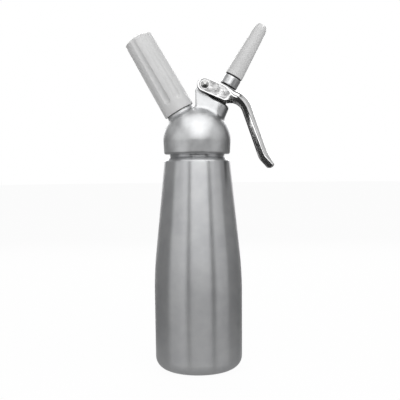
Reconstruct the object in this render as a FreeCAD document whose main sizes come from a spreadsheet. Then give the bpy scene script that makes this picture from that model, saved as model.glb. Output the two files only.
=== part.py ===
import FreeCAD, Part
import Sketcher
import math
import os
import re
from FreeCAD import Placement, Rotation, Vector

# Whipped cream dispenser, millimetres. Z is up, the origin is the centre of the foot's flat face,
# X points to the lever and Y across it. The charger holder leans to -X and the nozzle to +X, and
# both of their axes cross the bottle's axis at axisHeight, inside the head.

document = FreeCAD.newDocument("creamDispenser")
sheet = document.addObject("Spreadsheet::Sheet", "sizes")
places = document.addObject("App::FeaturePython", "places")

sizes = {
    # bottle, one drawn shell with a threaded neck
    "bellyRadius": 43.9,
    "bellyHeight": 95.5,
    "bellyRound": 350.0,
    "footTaper": 0.6,
    "footRound": 12.0,
    "shoulderRadius": 32.7,
    "shoulderRise": 3.7,
    "shoulderRound": 2.5,
    "neckRadius": 27.2,
    "neckLength": 21.1,
    "rimHeight": 232.0,
    "mouthRadius": 23.5,
    "bottleWall": 1.6,
    "bottleFloor": 3.0,
    "neckThreadPitch": 3.0,
    "neckThreadDepth": 0.8,
    # gasket between the bottle's rim and the head
    "gasketThickness": 2.0,
    "gasketWidth": 3.0,
    "gasketClearance": 0.3,
    # head, one casting with a dome, two bosses and the lever's lug
    "skirtDrop": 18.4,
    "skirtRadius": 32.7,
    "skirtRound": 2.0,
    "domeDrop": 5.0,
    "domeRadius": 33.4,
    "axisDrop": 6.0,
    "threadClearance": 0.1,
    "cavityClearance": 0.1,
    "cavityRadius": 27.6,
    "chargerLean": 29.5,
    "chargerBossRadius": 13.5,
    "chargerBossFace": 34.6,
    "nozzleLean": 30.0,
    "valveBossRadius": 11.2,
    "valveBossFoot": 13.4,
    "valveBossRound": 2.4,
    "valveBossFace": 45.5,
    "bossFoot": 18.0,
    "landRadius": 8.6,
    "webWidth": 22.0,
    "webBack": 9.4,
    "webShoulder": 4.4,
    "webWaist": 6.0,
    "webRound": 1.0,
    "lugRadius": 4.9,
    "castRound": 1.5,
    # charger side, along its own axis from the crossing of the axes
    "portNippleRadius": 3.0,
    "portNippleFoot": 20.5,
    "portSpigotRadius": 8.0,
    "portSpigotFoot": 27.8,
    "portRadius": 11.0,
    "portTop": 50.0,
    "portThreadPitch": 2.5,
    "portThreadDepth": 0.8,
    "gasBore": 1.1,
    "gasBoreFoot": 24.0,
    "sealThickness": 1.2,
    "sealSeat": 45.0,
    "sealRadius": 4.6,
    "sealBore": 2.2,
    "spikeRadius": 1.4,
    "spikeFoot": 38.0,
    "spikeReach": 1.8,
    "spikeFlat": 0.25,
    "sleeveThickness": 1.3,
    "sleeveLength": 5.0,
    "capThickness": 1.8,
    "capShank": 1.0,
    "bulbRadius": 8.9,
    "bulbLength": 65.5,
    "bulbNeckRadius": 4.2,
    "bulbNeckLength": 8.0,
    "bulbTaper": 7.0,
    "bulbWall": 1.8,
    "bulbEndFlat": 0.6,
    "bulbPiercing": 1.6,
    "bulbClearance": 0.5,
    "holderGap": 0.4,
    "holderFootRadius": 15.65,
    "holderTopRadius": 14.2,
    "holderLength": 85.6,
    "holderTopRound": 1.2,
    "holderCrown": 4.5,
    "holderFootRound": 0.8,
    "holderThreadLength": 16.5,
    "holderTaper": 2.5,
    "fluteRadius": 4.5,
    "fluteDepth": 0.8,
    "fluteFoot": 9.4,
    "fluteCount": 8,
    # valve, along the nozzle's axis from the crossing of the axes
    "valveSeat": 25.0,
    "discThickness": 2.0,
    "discRadius": 7.2,
    "backingThickness": 1.5,
    "endNutThickness": 3.2,
    "endNutAcross": 4.6,
    "stemEndRadius": 2.5,
    "stemEndSpare": 0.8,
    "stemRadius": 4.0,
    "stemBore": 2.6,
    "stemBoreFoot": 27.0,
    "stemTop": 71.5,
    "stemPortRadius": 1.2,
    "stemPortHeight": 28.5,
    "chamberRadius": 5.5,
    "chamberTop": 33.0,
    "slideClearance": 0.08,
    "glandFoot": 35.6,
    "glandTop": 38.0,
    "glandRadius": 6.1,
    "stemRingSection": 0.95,
    "bushLength": 2.5,
    "springWellRadius": 7.6,
    "springWire": 0.65,
    "springRadius": 6.25,
    "springTurns": 5.5,
    "flangeThickness": 2.0,
    "flangeRadius": 6.8,
    "contactGap": 0.1,
    # nozzle
    "adaptorFoot": 63.7,
    "adaptorTop": 73.0,
    "adaptorRadius": 8.65,
    "adaptorRound": 0.8,
    "collarRingRadius": 8.4,
    "collarRingThickness": 0.9,
    "stubRadius": 6.4,
    "stubLength": 8.0,
    "tipRingSection": 0.6,
    "tipRingGap": 0.05,
    "tipRingRadius": 7.75,
    "tipFootRadius": 9.0,
    "tipWaistRadius": 6.5,
    "tipMouthRadius": 4.2,
    "tipWaistHeight": 53.0,
    "tipLength": 57.6,
    "tipWall": 1.7,
    "tipWaistRound": 5.0,
    "tipMouthRound": 0.6,
    "notchDepth": 3.4,
    "notchFootHalf": 0.5,
    "notchHalfWidth": 1.2,
    "notchCount": 5,
    "notchTurn": 15.0,
    # lever, along its top plate from the pin
    "pinOffset": 20.5,
    "pinAlong": 51.9,
    "leverPitch": 23.8,
    "cheekRadius": 7.5,
    "cheekRoundSpare": 0.05,
    "plateThickness": 2.0,
    "elbowRound": 23.0,
    "handleLean": 47.3,
    "handleLength": 58.8,
    "handleThickness": 9.3,
    "handleInset": 2.0,
    "innerElbowRound": 12.0,
    "toeLean": 36.9,
    "toeLength": 15.0,
    "toeThickness": 6.8,
    "toeHeel": 3.4,
    "toeOuterRound": 24.0,
    "toeInnerRound": 14.0,
    "toeEndRound": 2.8,
    "cheekLength": 23.8,
    "elbowSpan": 19.55,
    "cheekOuter": 14.6,
    "cheekInner": 12.0,
    "channelSpare": 11.5,
    "plateStart": 3.0,
    "recessDepth": 0.8,
    "recessRim": 2.4,
    "recessStart": 6.0,
    "recessSpare": 13.5,
    "handleHalf": 8.5,
    "leverEdgeRound": 2.0,
    "taperLead": 10.5,
    "taperTail": 9.5,
    "grooveHalf": 5.2,
    "grooveDepth": 5.2,
    "grooveStart": 8.0,
    "grooveEnd": 4.0,
    "ribRadius": 1.5,
    "ribHalf": 6.6,
    "slotRadius": 5.2,
    "slotShift": 0.6,
    # pin
    "pinRadius": 2.5,
    "pinFit": 0.02,
    "hingeFit": 0.06,
    "washerGap": 0.2,
    "pinHeadRadius": 4.0,
    "pinHeadThickness": 1.8,
    "pinHeadRound": 1.7,
    "clipThickness": 0.7,
    "clipRadius": 4.2,
    "clipGroove": 0.6,
    "clipMouth": 2.6,
    "pinEnd": 1.2,
}

# places worked out from the sizes above
derived = {
    "footRadius": "bellyRadius - footTaper",
    "neckFoot": "rimHeight - neckLength",
    "shoulderHeight": "neckFoot - shoulderRise",
    "axisHeight": "rimHeight - axisDrop",
    "domeHeight": "rimHeight - domeDrop",
    "skirtFoot": "rimHeight - skirtDrop",
    "seatHeight": "rimHeight + gasketThickness",
    "headBore": "neckRadius + threadClearance",
    "cavityBore": "mouthRadius + cavityClearance",
    "pinX": "pinAlong * sin(nozzleLean) - pinOffset * cos(nozzleLean)",
    "pinZ": "axisHeight + pinOffset * sin(nozzleLean) + pinAlong * cos(nozzleLean)",
    "plateTilt": "nozzleLean - leverPitch",
    "plateUnder": "cheekRadius - plateThickness",
    "ribUp": "cheekRadius - ribRadius - 0.1",
    "ribAlong": "(pinOffset + ribUp * sin(plateTilt)) / cos(plateTilt)",
    "flangeTop": "pinAlong + ribAlong * sin(plateTilt) + ribUp * cos(plateTilt) - ribRadius - contactGap",
    "springFoot": "glandTop + bushLength",
    "springTop": "flangeTop - flangeThickness",
    "stemBoreRadius": "stemRadius + slideClearance",
    "webReach": "valveBossFace - valveBossRound",
    "bulbFoot": "sealSeat + sealThickness",
    "bulbTop": "bulbFoot + bulbLength",
    "holderFoot": "chargerBossFace + holderGap",
    "holderTop": "holderFoot + holderLength",
    "holderCapRound": "0.6 * (holderTopRadius ^ 2 + holderCrown ^ 2) / (2 * holderCrown)",
    "holderCapReach": "(holderTopRadius ^ 2 + holderCrown ^ 2) / (2 * holderTopRadius)",
    "holderBore": "bulbRadius + bulbClearance",
    "holderThreadTop": "holderFoot + holderThreadLength",
    "tipFoot": "adaptorTop + 2 * (tipRingSection + tipRingGap)",
    "stubTop": "adaptorTop + stubLength",
    "tipWaist": "tipFoot + tipWaistHeight",
    "tipTop": "tipFoot + tipLength",
    "elbowReach": "cheekLength + elbowSpan",
    "recessEnd": "elbowReach - recessSpare",
    "channelEnd": "elbowReach - channelSpare",
    "taperStart": "elbowReach - taperLead",
    "taperEnd": "elbowReach + taperTail",
    "toeX": "elbowReach + handleLength * cos(handleLean)",
    "toeZ": "cheekRadius - handleLength * sin(handleLean)",
}


def fillSheet():
    for row, (name, value) in enumerate(sizes.items(), start=1):
        sheet.set(f"A{row}", name)
        sheet.set(f"B{row}", str(value))
        sheet.setAlias(f"B{row}", name)
    document.recompute()
    for name, text in derived.items():
        places.addProperty("App::PropertyFloat", name)
        places.setExpression(name, formula(text))
    document.recompute()


def formula(text):
    """Put the name of the object that holds a size in front of each size in a formula."""
    def owner(match):
        word = match.group()
        if word in sizes:
            return "sizes." + word
        if word in derived:
            return "places." + word
        return word
    return re.sub(r"[A-Za-z]\w*", owner, text)


def bind(item, **formulas):
    """Tie properties of an object to formulas of sizes."""
    for name, text in formulas.items():
        item.setExpression(name, formula(text))
    return item


def stand(item, x="0", y="0", z="0", lean="0", axis=(0, 1, 0)):
    """Put an object at a place, turned by lean about an axis of the frame."""
    item.Placement = Placement(Vector(), Rotation(Vector(*axis), 10))
    item.setExpression("Placement.Base.x", formula(x))
    item.setExpression("Placement.Base.y", formula(y))
    item.setExpression("Placement.Base.z", formula(z))
    item.setExpression("Placement.Rotation.Angle", formula(lean))
    return item


def onNozzle(item):
    return stand(item, z="axisHeight", lean="nozzleLean")


def onCharger(item):
    return stand(item, z="axisHeight", lean="-chargerLean")


def planeOf(body, role):
    return next(item for item in body.Origin.OriginFeatures if item.Role == role)


def outline(body, name, role, corners):
    """A closed outline of straight sides, its corners tied to pairs of formulas."""
    sketch = body.newObject("Sketcher::SketchObject", name)
    sketch.AttachmentSupport = [(planeOf(body, role), "")]
    sketch.MapMode = "FlatFace"
    count = len(corners)
    guess = [Vector(math.cos(turn), math.sin(turn), 0) * 20 for turn in
             (2 * math.pi * index / count for index in range(count))]
    for index in range(count):
        sketch.addGeometry(Part.LineSegment(guess[index], guess[(index + 1) % count]), False)
    for index in range(count):
        sketch.addConstraint(Sketcher.Constraint("Coincident", index, 2, (index + 1) % count, 1))
    for index, corner in enumerate(corners):
        for axis, text in (("DistanceX", corner[0]), ("DistanceY", corner[1])):
            number = sketch.addConstraint(Sketcher.Constraint(axis, -1, 1, index, 1, 1.0))
            sketch.setExpression(f"Constraints[{number}]", formula(text))
    return sketch


def circleOn(body, name, role, across, up, radius):
    """A circle whose centre and radius are tied to formulas."""
    sketch = body.newObject("Sketcher::SketchObject", name)
    sketch.AttachmentSupport = [(planeOf(body, role), "")]
    sketch.MapMode = "FlatFace"
    sketch.addGeometry(Part.Circle(Vector(), Vector(0, 0, 1), 5), False)
    numbers = [sketch.addConstraint(Sketcher.Constraint("DistanceX", -1, 1, 0, 3, 1.0)),
               sketch.addConstraint(Sketcher.Constraint("DistanceY", -1, 1, 0, 3, 1.0)),
               sketch.addConstraint(Sketcher.Constraint("Radius", 0, 5.0))]
    for number, text in zip(numbers, (across, up, radius)):
        sketch.setExpression(f"Constraints[{number}]", formula(text))
    return sketch


def ringEdges(shape, corner):
    """Names of the circular edges that a corner of a turned outline makes."""
    return [f"Edge{index}" for index, edge in enumerate(shape.Edges, start=1)
            if isinstance(edge.Curve, Part.Circle) and abs(edge.Curve.Radius - corner.x) < 1e-4
            and abs(edge.Curve.Center.z - corner.y) < 1e-4 and abs(edge.Curve.Axis.z) > 0.99]


def straightEdges(shape, corner):
    """Names of the edges across the lever that a corner of its outline makes."""
    return [f"Edge{index}" for index, edge in enumerate(shape.Edges, start=1)
            if isinstance(edge.Curve, Part.Line) and abs(edge.tangentAt(edge.FirstParameter).y) > 0.99
            and abs(edge.Vertexes[0].X - corner.x) < 1e-4 and abs(edge.Vertexes[0].Z - corner.y) < 1e-4]


def fillet(body, radius, findEdges):
    """Round the edges of a body that findEdges picks out of its shape so far."""
    document.recompute()
    before = body.Tip
    rounding = body.newObject("PartDesign::Fillet", body.Label + "Round")
    rounding.Base = (before, findEdges(before.Shape))
    bind(rounding, Radius=radius)
    body.Tip = rounding


def roundCorners(body, sketch, corners, findEdges):
    """Fillet the corners of an outline that carry a radius, one feature for each radius."""
    for radius in dict.fromkeys(corner[2] for corner in corners if len(corner) > 2):
        chosen = [index for index, corner in enumerate(corners) if len(corner) > 2 and corner[2] == radius]

        def cornerEdges(shape):
            return [edge for index in chosen for edge in findEdges(shape, sketch.Geometry[index].StartPoint)]
        fillet(body, radius, cornerEdges)


def turned(label, corners):
    """A piece turned on a lathe: its half outline, as (radius, height), revolved about Z."""
    body = document.addObject("PartDesign::Body", label)
    sketch = outline(body, label + "Profile", "XZ_Plane", corners)
    revolution = body.newObject("PartDesign::Revolution", label + "Turning")
    revolution.Profile = sketch
    revolution.ReferenceAxis = (sketch, ["V_Axis"])
    revolution.Angle = 360
    body.Tip = revolution
    document.recompute()
    roundCorners(body, sketch, corners, ringEdges)
    return body


def pocket(body, sketch, length=None):
    """Cut an outline out of a body, on both sides of its plane; through all without a length."""
    cut = body.newObject("PartDesign::Pocket", sketch.Label + "Cut")
    cut.Profile = sketch
    cut.Midplane = True
    if length:
        bind(cut, Length=length)
    else:
        cut.Type = "ThroughAll"
    body.Tip = cut
    return cut


def pad(body, sketch, length, midplane=True):
    """Grow an outline to both sides of its plane, or to one side only."""
    grown = body.newObject("PartDesign::Pad", sketch.Label + "Pad")
    grown.Profile = sketch
    grown.Midplane = midplane
    bind(grown, Length=length)
    body.Tip = grown
    return grown


def threadCorners(radius, depth, pitch, top, count):
    """Corners of a thread's ridges, from the top down, as seen in a section through its axis."""
    corners = []
    for index in range(count):
        start = f"{top} - {index} * {pitch}"
        corners.append((radius, start))
        corners.append((radius, f"{start} - {pitch} * 0.25"))
        corners.append((f"{radius} - {depth}", f"{start} - {pitch} * 0.45"))
        corners.append((f"{radius} - {depth}", f"{start} - {pitch} * 0.8"))
    return corners


def cylinder(name, radius, foot, height):
    """A plain cylinder along Z, its foot at a height of its own frame."""
    body = turned(name, [("0", foot), (radius, foot), (radius, f"{foot} + {height}"),
                         ("0", f"{foot} + {height}")])
    return body


def ring(label, inner, outer, foot, height):
    return turned(label, [(inner, foot), (outer, foot), (outer, f"{foot} + {height}"),
                          (inner, f"{foot} + {height}")])


def cut(label, base, tools):
    """A base with several tools cut away."""
    tool = tools[0]
    if len(tools) > 1:
        tool = document.addObject("Part::MultiFuse", label + "Tools")
        tool.Shapes = tools
    result = document.addObject("Part::Cut", label)
    result.Base = base
    result.Tool = tool
    return result


# ---- bottle ----

def bottle():
    threadTop = "rimHeight - 1.2"
    neck = threadCorners("neckRadius", "neckThreadDepth", "neckThreadPitch", threadTop, 5)
    return turned("bottle", [
        ("0", "0"),
        ("footRadius", "0", "footRound"),
        ("bellyRadius", "bellyHeight", "bellyRound"),
        ("shoulderRadius", "shoulderHeight", "shoulderRound"),
        ("neckRadius", "neckFoot"),
        *reversed(neck),
        ("neckRadius - neckThreadDepth", "rimHeight"),
        ("mouthRadius", "rimHeight"),
        ("mouthRadius", "shoulderHeight"),
        ("shoulderRadius - bottleWall", "shoulderHeight - bottleWall * 2"),
        ("bellyRadius - bottleWall", "bellyHeight", "bellyRound - bottleWall"),
        ("footRadius - bottleWall", "bottleFloor", "footRound - bottleWall"),
        ("0", "bottleFloor"),
    ])


def headGasket():
    return ring("head_gasket", "mouthRadius + gasketClearance",
                "mouthRadius + gasketClearance + gasketWidth", "rimHeight", "gasketThickness")


# ---- head ----

def web():
    """The lug's web, a flat plate in the XZ plane that grows out of the dome."""
    body = document.addObject("PartDesign::Body", "lugWeb")
    right = "pinX + lugRadius * cos(nozzleLean)"
    corners = [
        ("pinX - webBack", "domeHeight"),
        ("pinX - webBack", "pinZ - webShoulder"),
        ("pinX - lugRadius * 0.8", "pinZ + lugRadius * 0.6"),
        (right, "pinZ - lugRadius * sin(nozzleLean)"),
        (f"{right} - webWaist * sin(nozzleLean)",
         "pinZ - lugRadius * sin(nozzleLean) - webWaist * cos(nozzleLean)"),
        ("webReach * sin(nozzleLean)", "axisHeight + webReach * cos(nozzleLean)"),
        ("glandFoot * sin(nozzleLean)", "domeHeight"),
    ]
    pad(body, outline(body, "webOutline", "XZ_Plane", corners), "webWidth")
    pad(body, circleOn(body, "lugCircle", "XZ_Plane", "pinX", "pinZ", "lugRadius"), "webWidth")
    return body


def stemBores():
    """Every bore along the nozzle's axis: valve chamber, guide, gland and spring well."""
    below = "valveSeat - discThickness"
    above = "valveBossFace + 1"
    return onNozzle(turned("stemBores", [
        ("0", below),
        ("chamberRadius", below),
        ("chamberRadius", "chamberTop"),
        ("stemBoreRadius", "chamberTop"),
        ("stemBoreRadius", "glandFoot"),
        ("glandRadius", "glandFoot"),
        ("glandRadius", "glandTop"),
        ("springWellRadius", "glandTop"),
        ("springWellRadius", above),
        ("0", above),
    ]))


def headCavity():
    """The space over the bottle's mouth, less the land that the valve closes on."""
    dome = document.addObject("Part::Sphere", "cavityDome")
    bind(stand(dome, z="axisHeight"), Radius="cavityRadius")
    dome.Angle1 = 0
    throat = cylinder("cavityThroat", "cavityBore", "axisHeight", "seatHeight + 6 - axisHeight")
    space = document.addObject("Part::MultiFuse", "cavitySpace")
    space.Shapes = [dome, throat]
    land = onNozzle(cylinder("valveLand", "landRadius", "valveSeat", "cavityRadius - valveSeat + 2"))
    return cut("headCavity", space, [land])


def domeEdges(shape):
    """Edges where the bosses and the web grow out of the dome."""
    dome = next(face for face in shape.Faces if isinstance(face.Surface, Part.Sphere))
    return [f"Edge{index}" for index, edge in enumerate(shape.Edges, start=1)
            if any(edge.isSame(side) for side in dome.Edges)
            and edge.BoundBox.ZMin > dome.BoundBox.ZMin + 1]


def webEdges(shape):
    """Edges between the two flat sides of the web and its narrow faces."""
    def sideways(face):
        return isinstance(face.Surface, Part.Plane) and abs(face.normalAt(0, 0).y) > 0.9
    sides = [face for face in shape.Faces if sideways(face)]
    crests = [face for face in shape.Faces
              if isinstance(face.Surface, (Part.Plane, Part.Cylinder)) and not sideways(face)]
    return [f"Edge{index}" for index, edge in enumerate(shape.Edges, start=1)
            if any(edge.isSame(line) for face in sides for line in face.Edges)
            and any(edge.isSame(line) for face in crests for line in face.Edges)]


def headCasting():
    skirt = turned("headSkirt", [
        ("0", "skirtFoot"),
        ("skirtRadius", "skirtFoot", "skirtRound"),
        ("domeRadius", "domeHeight"),
        ("0", "domeHeight"),
    ])
    dome = document.addObject("Part::Sphere", "headDome")
    bind(stand(dome, z="domeHeight"), Radius="domeRadius")
    dome.Angle1 = 0
    chargerBoss = onCharger(cylinder("chargerBoss", "chargerBossRadius", "bossFoot",
                                     "chargerBossFace - bossFoot"))
    valveBoss = onNozzle(turned("valveBoss", [
        ("0", "bossFoot"),
        ("valveBossFoot", "bossFoot"),
        ("valveBossRadius", "valveBossFace", "valveBossRound"),
        ("0", "valveBossFace"),
    ]))
    blank = document.addObject("Part::MultiFuse", "headBlank")
    blank.Shapes = [skirt, dome, chargerBoss, valveBoss, web()]
    blank.Refine = True
    outside = document.addObject("PartDesign::Body", "headOutside")
    outside.BaseFeature = blank
    fillet(outside, "webRound", webEdges)
    fillet(outside, "castRound", domeEdges)
    threadBore = cylinder("headThread", "headBore", "skirtFoot - 1", "seatHeight - skirtFoot + 1")
    portBore = onCharger(cylinder("portBore", "portSpigotRadius + pinFit", "portNippleFoot",
                                  "chargerBossFace + 1 - portNippleFoot"))
    pinBore = cylinder("lugBore", "pinRadius + pinFit", "-webWidth", "2 * webWidth")
    stand(pinBore, x="pinX", z="pinZ", lean="90", axis=(1, 0, 0))
    return cut("head_casting", outside, [threadBore, headCavity(), portBore, stemBores(), pinBore])


# ---- charger side ----

def chargerPort():
    """The threaded port: a stub for the holder, a spigot in the head and a nipple inside."""
    thread = threadCorners("portRadius", "portThreadDepth", "portThreadPitch", "portTop - 1", 5)
    return onCharger(turned("charger_port", [
        ("capShank", "portNippleFoot"),
        ("portNippleRadius", "portNippleFoot"),
        ("portNippleRadius", "portSpigotFoot"),
        ("portSpigotRadius", "portSpigotFoot"),
        ("portSpigotRadius", "chargerBossFace"),
        ("portRadius - portThreadDepth", "chargerBossFace"),
        *reversed(thread),
        ("portRadius - portThreadDepth", "portTop"),
        ("sealRadius", "portTop"),
        ("sealRadius", "sealSeat"),
        ("spikeRadius", "sealSeat"),
        ("spikeRadius", "spikeFoot"),
        ("gasBore", "spikeFoot"),
        ("gasBore", "gasBoreFoot"),
        ("capShank", "gasBoreFoot"),
    ]))


def piercingPin():
    return onCharger(turned("piercing_pin", [
        ("0", "spikeFoot"),
        ("spikeRadius", "spikeFoot"),
        ("spikeRadius", "sealSeat"),
        ("spikeFlat", "bulbFoot + spikeReach"),
        ("0", "bulbFoot + spikeReach"),
    ]))


def chargerSeal():
    return onCharger(ring("charger_seal", "sealBore", "sealRadius", "sealSeat", "sealThickness"))


def nonReturnSleeve():
    return onCharger(ring("non_return_sleeve", "portNippleRadius", "portNippleRadius + sleeveThickness",
                          "portNippleFoot", "sleeveLength"))


def nonReturnScrew():
    return onCharger(turned("non_return_screw", [
        ("0", "portNippleFoot - capThickness"),
        ("portNippleRadius + sleeveThickness", "portNippleFoot - capThickness", "capThickness * 0.4"),
        ("portNippleRadius + sleeveThickness", "portNippleFoot"),
        ("capShank", "portNippleFoot"),
        ("capShank", "gasBoreFoot - 1"),
        ("0", "gasBoreFoot - 1"),
    ]))


def gasCharger():
    """The steel bulb, neck down on its seal, with the hole that the pin has pierced."""
    shoulder = "bulbFoot + bulbNeckLength"
    wide = f"{shoulder} + bulbTaper"
    return onCharger(turned("gas_charger", [
        ("bulbPiercing", "bulbFoot"),
        ("bulbNeckRadius", "bulbFoot"),
        ("bulbNeckRadius", shoulder, "bulbWall"),
        ("bulbRadius", wide, "bulbTaper"),
        ("bulbRadius", "bulbTop", "bulbRadius - bulbEndFlat"),
        ("0", "bulbTop"),
        ("0", "bulbTop - bulbWall"),
        ("bulbRadius - bulbWall", "bulbTop - bulbWall", "bulbRadius - bulbWall - bulbEndFlat"),
        ("bulbRadius - bulbWall", wide),
        ("bulbPiercing", shoulder),
    ]))


def chargerHolder():
    """The holder: a tapered plastic cup over the bulb, with wide flutes that run out at its top."""
    cup = turned("holderCup", [
        ("portRadius + threadClearance", "holderFoot"),
        ("holderFootRadius", "holderFoot", "holderFootRound"),
        ("holderTopRadius", "holderTop - holderCrown", "holderTopRound"),
        ("holderCapReach", "holderTop", "holderCapRound"),
        ("0", "holderTop"),
        ("0", "bulbTop + bulbClearance"),
        ("holderBore", "bulbTop + bulbClearance", "holderBore - 2 * bulbClearance"),
        ("holderBore", "holderThreadTop + holderTaper"),
        ("portRadius + threadClearance", "holderThreadTop"),
    ])
    flutes = []
    for index in range(sizes["fluteCount"]):
        flute = turned(f"flute{index}", [
            ("0", "holderFoot + fluteFoot"),
            ("fluteRadius", "holderFoot + fluteFoot", "fluteRadius * 0.99"),
            ("fluteRadius", "holderTop + 1"),
            ("0", "holderTop + 1"),
        ])
        reach = "(holderTopRadius + fluteRadius - fluteDepth)"
        turn = f"({index} + 0.5) * 360 / fluteCount"
        flutes.append(stand(flute, x=f"{reach} * cos({turn})", y=f"{reach} * sin({turn})"))
    return onCharger(cut("charger_holder", cup, flutes))


# ---- valve ----

def valveStem():
    """The hollow stem: it opens the valve when it is pressed in, and carries the nozzle."""
    stem = turned("valve_stem", [
        ("0", "valveSeat - discThickness - backingThickness - endNutThickness - stemEndSpare"),
        ("stemEndRadius", "valveSeat - discThickness - backingThickness - endNutThickness - stemEndSpare"),
        ("stemEndRadius", "valveSeat"),
        ("stemRadius", "valveSeat"),
        ("stemRadius", "stemTop"),
        ("stemBore", "stemTop"),
        ("stemBore", "stemBoreFoot"),
        ("0", "stemBoreFoot"),
    ])
    port = circleOn(stem, "stemPort", "XZ_Plane", "0", "stemPortHeight", "stemPortRadius")
    pocket(stem, port)
    return onNozzle(stem)


def valveDisc():
    return onNozzle(ring("valve_disc", "stemEndRadius", "discRadius",
                         "valveSeat - discThickness", "discThickness"))


def backingWasher():
    return onNozzle(ring("backing_washer", "stemEndRadius", "discRadius",
                         "valveSeat - discThickness - backingThickness", "backingThickness"))


def stemEndNut():
    nut = document.addObject("Part::Prism", "endNutBlank")
    nut.Polygon = 6
    bind(nut, Circumradius="endNutAcross", Height="endNutThickness")
    stand(nut, z="valveSeat - discThickness - backingThickness - endNutThickness")
    hole = cylinder("endNutHole", "stemEndRadius", "valveSeat - 20", "20")
    return onNozzle(cut("stem_end_nut", nut, [hole]))


def stemRing():
    """The rubber ring in the gland, held off the stem and the gland by its clearances."""
    torus = document.addObject("Part::Torus", "stem_o_ring")
    bind(torus, Radius1="glandRadius - stemRingSection - slideClearance / 2", Radius2="stemRingSection")
    stand(torus, lean="nozzleLean")
    middle = "(glandFoot + glandTop) / 2"
    torus.setExpression("Placement.Base.x", formula(f"{middle} * sin(nozzleLean)"))
    torus.setExpression("Placement.Base.z", formula(f"axisHeight + {middle} * cos(nozzleLean)"))
    return torus


def valveBush():
    return onNozzle(ring("valve_bush", "stemBoreRadius", "springWellRadius", "glandTop", "bushLength"))


def valveSpring():
    """The return spring between the bush and the flange nut. Each half turn of its wire is half a
    ring in a plane of its own, tilted by half the pitch, so that the halves meet in line."""
    radius = sizes["springRadius"]
    wire = sizes["springWire"]
    halfTurns = round(2 * sizes["springTurns"])
    foot = places.springFoot + wire * 1.1
    rise = (places.springTop - wire * 1.1 - foot) / halfTurns
    tilt = math.degrees(math.atan2(rise, 2 * radius))
    halves = []
    for index in range(halfTurns):
        side = 1 if index % 2 == 0 else -1
        half = Part.makeTorus(math.hypot(radius, rise / 2), wire, Vector(), Vector(0, 0, 1), 0, 360, 180)
        turn = Rotation(Vector(0, 1, 0), side * tilt) * Rotation(Vector(0, 0, 1), 90 - 90 * side)
        half.Placement = Placement(Vector(0, 0, foot + (index + 0.5) * rise), turn)
        halves.append(half)
    spring = document.addObject("Part::Feature", "valve_spring")
    spring.Shape = halves[0].fuse(halves[1:])
    return onNozzle(spring)


def flangeNut():
    return onNozzle(ring("stem_flange_nut", "stemRadius", "flangeRadius", "springTop", "flangeThickness"))


# ---- nozzle ----

def tipAdaptor():
    """The collar on the stem's end, with the threaded stub that the tip screws on."""
    return onNozzle(turned("tip_adaptor", [
        ("stemRadius", "adaptorFoot"),
        ("adaptorRadius", "adaptorFoot", "adaptorRound"),
        ("adaptorRadius", "adaptorTop", "adaptorRound"),
        ("stubRadius", "adaptorTop"),
        ("stubRadius", "stubTop"),
        ("stemBore", "stubTop"),
        ("stemBore", "stemTop"),
        ("stemRadius", "stemTop"),
    ]))


def collarRing():
    """The rubber ring on the stem under the collar, which keeps the collar off the lever."""
    return onNozzle(ring("collar_ring", "stemRadius", "collarRingRadius",
                         "adaptorFoot - collarRingThickness", "collarRingThickness"))


def tipRing():
    torus = document.addObject("Part::Torus", "tip_o_ring")
    bind(torus, Radius1="tipRingRadius", Radius2="tipRingSection")
    stand(torus, lean="nozzleLean")
    middle = "(adaptorTop + tipRingSection + tipRingGap)"
    torus.setExpression("Placement.Base.x", formula(f"{middle} * sin(nozzleLean)"))
    torus.setExpression("Placement.Base.z", formula(f"axisHeight + {middle} * cos(nozzleLean)"))
    return torus


def decoratorTip():
    """The tapered plastic tip, its mouth cut into blunt teeth."""
    cone = turned("tipCone", [
        ("stubRadius + threadClearance", "tipFoot"),
        ("tipFootRadius", "tipFoot"),
        ("tipWaistRadius", "tipWaist", "tipWaistRound"),
        ("tipMouthRadius", "tipTop", "tipMouthRound"),
        ("tipMouthRadius - tipWall", "tipTop"),
        ("tipWaistRadius - tipWall", "tipWaist"),
        ("tipFootRadius - 2 * tipWall", "stubTop + 2 * tipWall"),
        ("stubRadius + threadClearance", "stubTop + tipWall"),
    ])
    notches = []
    for index in range(sizes["notchCount"]):
        notch = document.addObject("PartDesign::Body", f"notch{index}")
        corners = [
            ("-notchFootHalf", "tipTop - notchDepth"),
            ("notchFootHalf", "tipTop - notchDepth"),
            ("notchHalfWidth", "tipTop + 1"),
            ("-notchHalfWidth", "tipTop + 1"),
        ]
        pad(notch, outline(notch, f"notchOutline{index}", "XZ_Plane", corners), "2 * tipMouthRadius", False)
        notches.append(stand(notch, lean=f"notchTurn + {index} * 360 / notchCount", axis=(0, 0, 1)))
    return onNozzle(cut("decorator_tip", cone, notches))


# ---- lever, in its own frame: the pin at the origin and X along the top plate ----

def handlePoint(along, depth):
    """A point of the handle: along it from the elbow, and in from its outer face."""
    return (f"elbowReach + ({along}) * cos(handleLean) - ({depth}) * sin(handleLean)",
            f"cheekRadius - ({along}) * sin(handleLean) - ({depth}) * cos(handleLean)")


def sideEdges(shape):
    """Names of the edges where the lever's two sides meet its outer and inner faces."""
    names = []
    for index, edge in enumerate(shape.Edges, start=1):
        faces = shape.ancestorsOfType(edge, Part.Face)
        across = [abs(face.normalAt(0, 0).y) > 0.9 for face in faces]
        if across.count(True) == 1:
            names.append(f"Edge{index}")
    return names


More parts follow.
